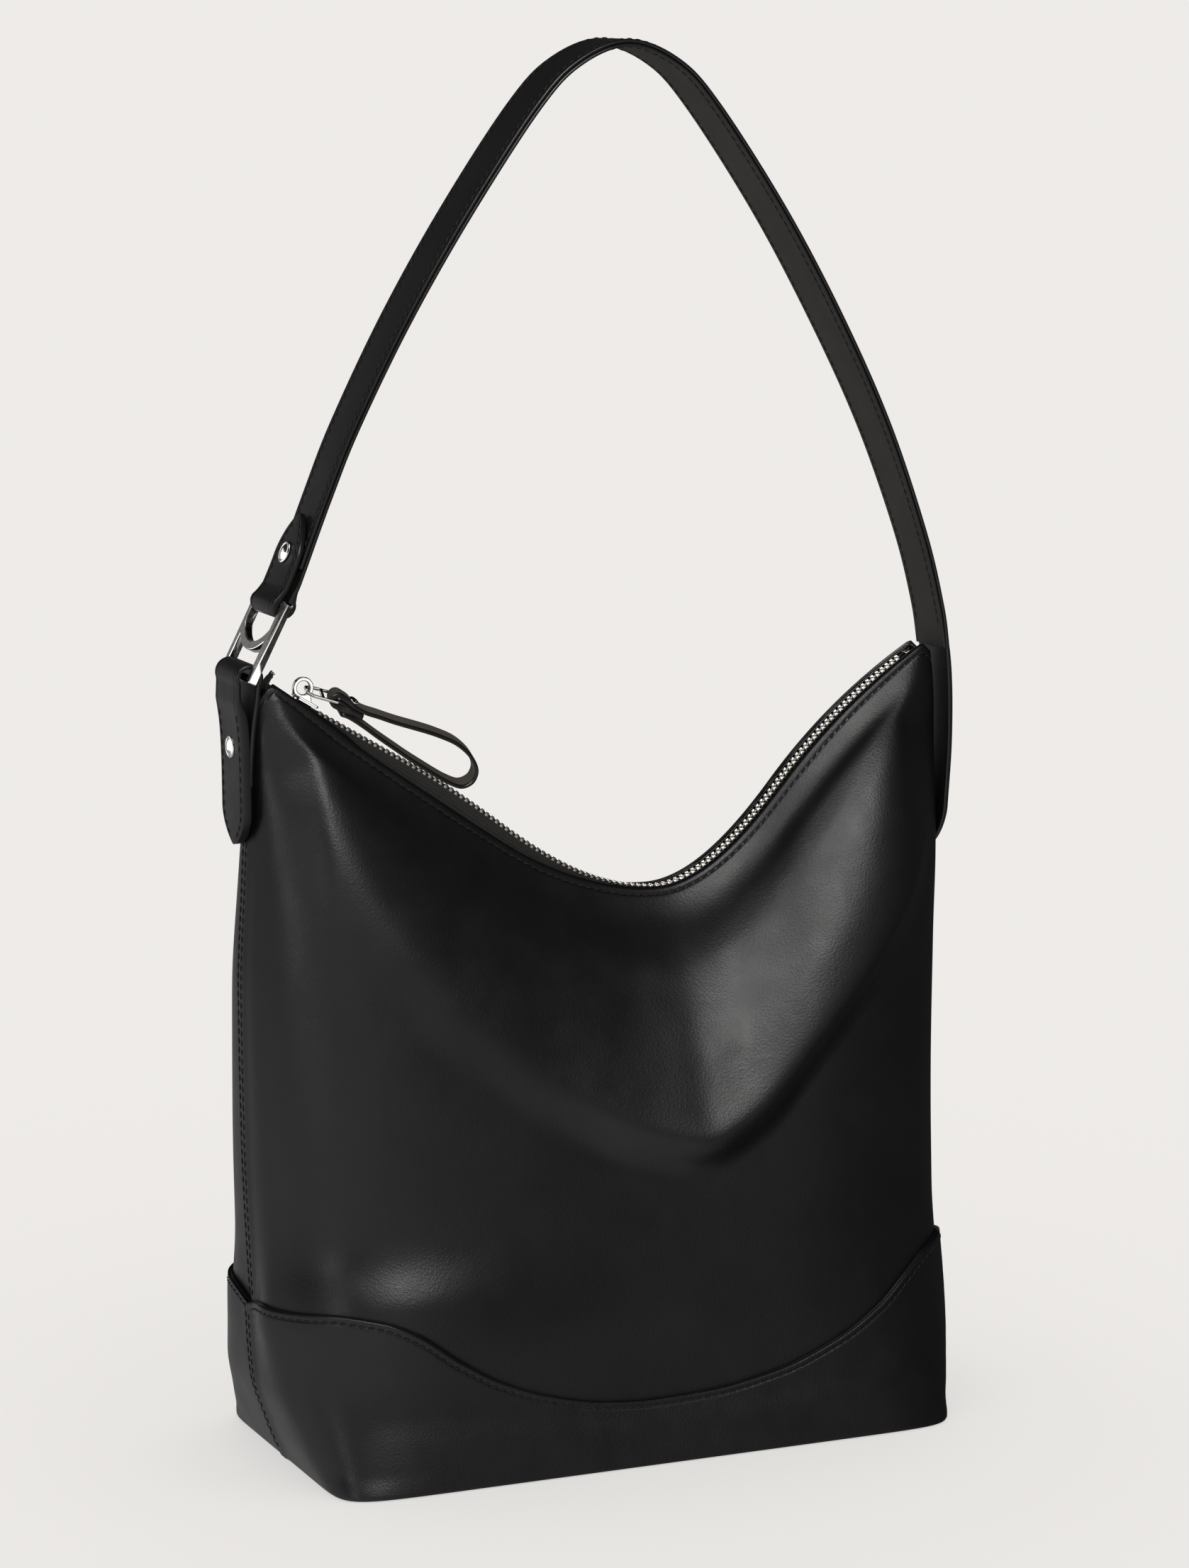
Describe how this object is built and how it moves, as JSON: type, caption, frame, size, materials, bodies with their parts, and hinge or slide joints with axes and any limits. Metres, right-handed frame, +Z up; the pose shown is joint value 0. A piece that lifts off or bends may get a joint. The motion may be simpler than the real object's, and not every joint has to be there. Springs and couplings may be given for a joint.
{
  "type": "hobo shoulder bag",
  "caption": "Soft leather hobo shoulder bag with a dipped zip top, a scalloped base band and one strap on an H-shaped ring.",
  "frame": {"origin": "middle of the flat base, on the surface that the bag stands on", "axes": "+Z up, +X from the ring end to the strap's sewn end, -Y towards the front"},
  "size_m": [0.335, 0.1522, 0.6032],
  "materials": {
    "body_leather": "smooth black calf with a soft sheen",
    "strap_leather": "smooth black calf, edges painted",
    "lining": "plain woven lining",
    "zip_tape": "herringbone zip tape",
    "board": "grey-brown stiffener board",
    "bright_metal": "polished pale nickel"
  },
  "bodies": {
    "bag": {"front_panel": "body_leather", "back_panel": "body_leather", "front_base_band": "body_leather", "back_base_band": "body_leather", "bottom_panel": "body_leather", "base_board": "board", "lining": "lining", "front_facing": "body_leather", "back_facing": "body_leather", "front_zip_tape": "zip_tape", "back_zip_tape": "zip_tape", "front_zip_teeth": "bright_metal", "back_zip_teeth": "bright_metal", "zip_stops": "bright_metal", "zip_tape_end": "zip_tape", "ring_tab": "strap_leather", "tab_rivet": "bright_metal", "strap_anchor": "strap_leather"},
    "slider": {"zip_slider": "bright_metal"},
    "link": {"pull_link": "bright_metal"},
    "pull": {"zip_pull": "strap_leather", "pull_rivet": "bright_metal"},
    "strap": {"strap_outer_layer": "strap_leather", "strap_inner_layer": "strap_leather", "strap_rivet": "bright_metal"},
    "ring": {"strap_ring": "bright_metal"}
  },
  "joints": [
    {"name": "zip_slide", "type": "slide", "parent": "bag", "child": "slider", "axis": [0.8575, 0, -0.5145], "range_m": [0, 0.06], "deforming": ["front_zip_teeth", "back_zip_teeth"]},
    {"name": "link_tilt", "type": "hinge", "parent": "slider", "child": "link", "pos_m": [-0.1306, 0, 0.3334], "axis": [0, -1, 0], "range_deg": [0, 60]},
    {"name": "pull_swing", "type": "hinge", "parent": "link", "child": "pull", "pos_m": [-0.11729, 0, 0.32907], "axis": [0, -1, 0], "range_deg": [0, 30]},
    {"name": "strap_fold", "type": "hinge", "parent": "bag", "child": "strap", "pos_m": [0, 0, 0.34], "axis": [1, 0, 0], "range_deg": [-60, 60], "deforming": ["ring_tab", "strap_anchor"]},
    {"name": "ring_swing", "type": "hinge", "parent": "strap", "child": "ring", "pos_m": [-0.1452, 0, 0.3715], "axis": [0, 1, 0], "range_deg": [-3, 3]}
  ]
}
